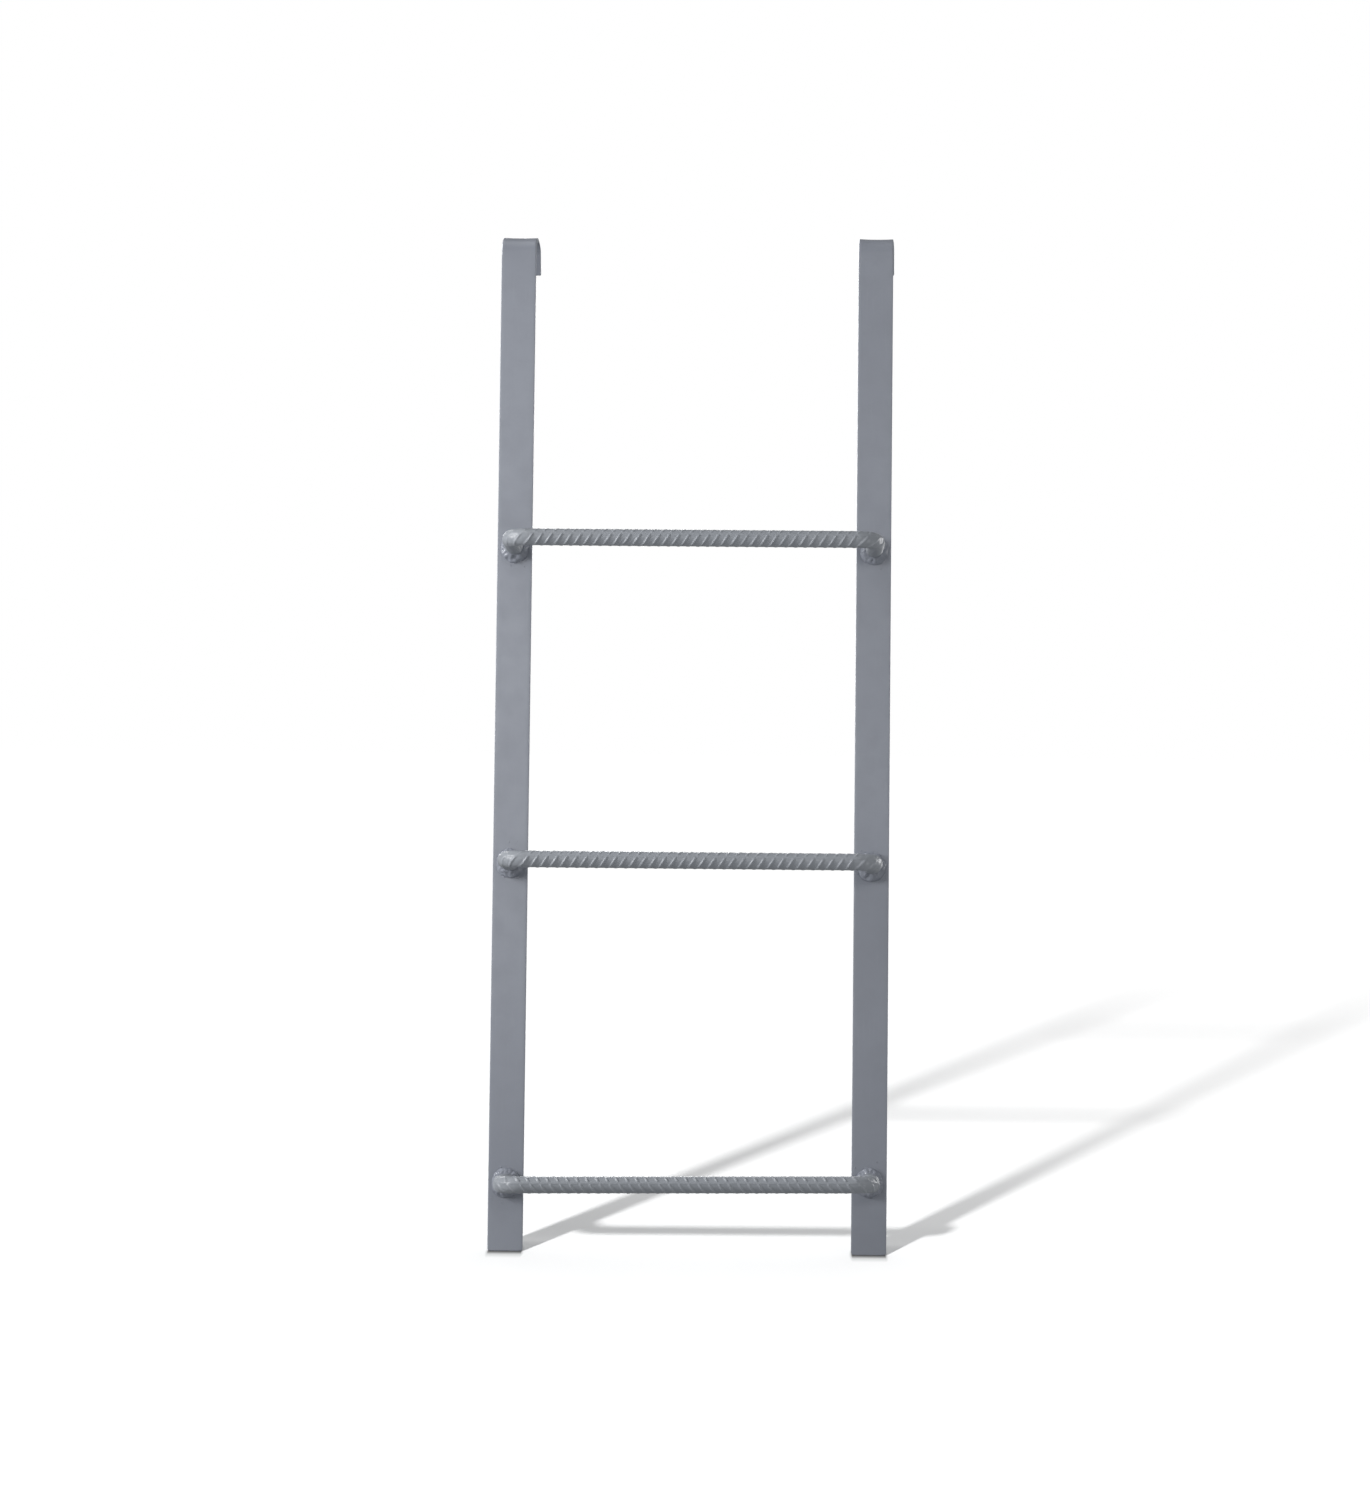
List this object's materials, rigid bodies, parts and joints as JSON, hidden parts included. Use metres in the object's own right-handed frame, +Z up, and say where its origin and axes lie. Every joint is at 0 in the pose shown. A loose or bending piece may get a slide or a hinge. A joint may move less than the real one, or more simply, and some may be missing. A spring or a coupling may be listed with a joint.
{
  "type": "welded steel escape ladder",
  "caption": "Rigid steel egress ladder: flat-bar stiles bent into hooks at the top, with ribbed bar rungs standing off on welded legs.",
  "frame": {"origin": "level with the feet, under the middle of the ladder's box", "axes": "+Z up the ladder from the feet to the hooks, +X across it to the right of someone who faces the rungs, +Y from the climber towards the wall"},
  "size_m": [0.4318, 0.124, 1.116],
  "materials": {
    "stile_paint": "satin grey coat over flat bar",
    "rung_paint": "satin grey coat over ribbed bar",
    "weld_paint": "grey coat pooled over rough weld"
  },
  "bodies": {
    "root": {"stile_left": "stile_paint", "stile_right": "stile_paint", "rung_bottom": "rung_paint", "rung_middle": "rung_paint", "rung_top": "rung_paint", "weld_bottom_left": "weld_paint", "weld_bottom_right": "weld_paint", "weld_middle_left": "weld_paint", "weld_middle_right": "weld_paint", "weld_top_left": "weld_paint", "weld_top_right": "weld_paint"}
  },
  "joints": []
}
